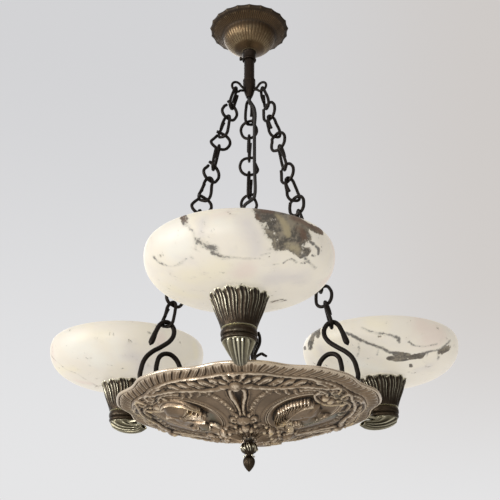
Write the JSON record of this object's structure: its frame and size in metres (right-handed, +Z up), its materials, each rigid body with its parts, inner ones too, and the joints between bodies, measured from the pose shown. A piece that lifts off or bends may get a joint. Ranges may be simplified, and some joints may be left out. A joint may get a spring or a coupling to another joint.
{
  "type": "three-bowl alabaster pendant lamp",
  "caption": "Hanging lamp: alabaster bowls on leaf cups and arms round a cast ornamental dish, hung on chains from a rod and a scalloped canopy.",
  "frame": {"origin": "centre of the ceiling plate's top face, which lies against the ceiling", "axes": "+Z up out of the ceiling plate, -Y toward the front bowl, +X to the right seen from the front"},
  "size_m": [0.6631, 0.6185, 0.792],
  "materials": {
    "bronze": "cast bronze with a worn brown patina",
    "cup_bronze": "cast bronze, dark green-brown with rubbed high points",
    "iron": "blackish brown, satin",
    "dark_brass": "dark antique brass, satin",
    "steel": "plain zinc-plated steel",
    "alabaster": "polished cream alabaster with grey-brown veins",
    "porcelain": "glazed white porcelain",
    "cable_skin": "dark braided cable sleeve",
    "bulb_glass": "frosted glass"
  },
  "bodies": {
    "ceiling_mount": {"ceiling_plate": "steel", "ceiling_hook": "steel"},
    "shackle": {"hanging_shackle": "steel"},
    "frame": {"rod_top_eye": "steel", "hanging_rod": "dark_brass", "rod_boss": "dark_brass", "chain_eye_right": "dark_brass", "chain_eye_back": "dark_brass", "chain_eye_left": "dark_brass", "chain_right": "iron", "chain_back": "iron", "chain_left": "iron", "s_hook_right": "iron", "s_hook_back": "iron", "s_hook_left": "iron", "supply_cable": "cable_skin", "terminal_block": "porcelain", "dish": "bronze", "carrier_frame": "iron", "finial_stud": "steel", "stud_nut": "steel", "spacer_tube": "steel", "junction_block": "porcelain", "arm_front": "bronze", "arm_bolt_front": "steel", "lamp_lead_front": "cable_skin", "moulded_ring_front": "cup_bronze", "leaf_cup_front": "cup_bronze", "nipple_front": "steel", "lampholder_front": "porcelain", "arm_right": "bronze", "arm_bolt_right": "steel", "lamp_lead_right": "cable_skin", "moulded_ring_right": "cup_bronze", "leaf_cup_right": "cup_bronze", "nipple_right": "steel", "lampholder_right": "porcelain", "arm_left": "bronze", "arm_bolt_left": "steel", "lamp_lead_left": "cable_skin", "moulded_ring_left": "cup_bronze", "leaf_cup_left": "cup_bronze", "nipple_left": "steel", "lampholder_left": "porcelain"},
    "canopy": {"canopy": "dark_brass", "canopy_collar": "dark_brass"},
    "canopy_screw": {"canopy_screw": "dark_brass"},
    "finial": {"finial": "bronze"},
    "bowl_front": {"bowl_front": "alabaster"},
    "shade_ring_front": {"shade_ring_front": "dark_brass"},
    "bulb_front": {"bulb_front": "bulb_glass"},
    "bowl_right": {"bowl_right": "alabaster"},
    "shade_ring_right": {"shade_ring_right": "dark_brass"},
    "bulb_right": {"bulb_right": "bulb_glass"},
    "bowl_left": {"bowl_left": "alabaster"},
    "shade_ring_left": {"shade_ring_left": "dark_brass"},
    "bulb_left": {"bulb_left": "bulb_glass"}
  },
  "joints": [
    {"name": "shackle_swing", "type": "hinge", "parent": "ceiling_mount", "child": "shackle", "pos_m": [0, 0, -0.0193], "axis": [1, 0, 0], "range_deg": [-3, 3]},
    {"name": "frame_swing", "type": "hinge", "parent": "shackle", "child": "frame", "pos_m": [0, 0, -0.029], "axis": [0, 1, 0], "range_deg": [-3, 3]},
    {"name": "canopy_slide", "type": "slide", "parent": "frame", "child": "canopy", "axis": [0, 0, -1], "range_m": [0, 0.038]},
    {"name": "canopy_screw_turn", "type": "hinge", "parent": "canopy", "child": "canopy_screw", "pos_m": [-0.014, 0, -0.0708], "axis": [-1, 0, 0], "continuous": true},
    {"name": "finial_turn", "type": "hinge", "parent": "frame", "child": "finial", "pos_m": [0, 0, -0.76], "axis": [0, 0, 1], "continuous": true},
    {"name": "bowl_lift_front", "type": "slide", "parent": "frame", "child": "bowl_front", "axis": [0, 0, 1], "range_m": [0, 0.12]},
    {"name": "shade_ring_turn_front", "type": "hinge", "parent": "bowl_front", "child": "shade_ring_front", "pos_m": [-0.01251, -0.23867, -0.607], "axis": [0, 0, 1], "continuous": true},
    {"name": "bulb_turn_front", "type": "hinge", "parent": "frame", "child": "bulb_front", "pos_m": [-0.01251, -0.23867, -0.58], "axis": [0, 0, 1], "continuous": true},
    {"name": "bowl_lift_right", "type": "slide", "parent": "frame", "child": "bowl_right", "axis": [0, 0, 1], "range_m": [0, 0.12]},
    {"name": "shade_ring_turn_right", "type": "hinge", "parent": "bowl_right", "child": "shade_ring_right", "pos_m": [0.21295, 0.1085, -0.607], "axis": [0, 0, 1], "continuous": true},
    {"name": "bulb_turn_right", "type": "hinge", "parent": "frame", "child": "bulb_right", "pos_m": [0.21295, 0.1085, -0.58], "axis": [0, 0, 1], "continuous": true},
    {"name": "bowl_lift_left", "type": "slide", "parent": "frame", "child": "bowl_left", "axis": [0, 0, 1], "range_m": [0, 0.12]},
    {"name": "shade_ring_turn_left", "type": "hinge", "parent": "bowl_left", "child": "shade_ring_left", "pos_m": [-0.20044, 0.13017, -0.607], "axis": [0, 0, 1], "continuous": true},
    {"name": "bulb_turn_left", "type": "hinge", "parent": "frame", "child": "bulb_left", "pos_m": [-0.20044, 0.13017, -0.58], "axis": [0, 0, 1], "continuous": true}
  ]
}
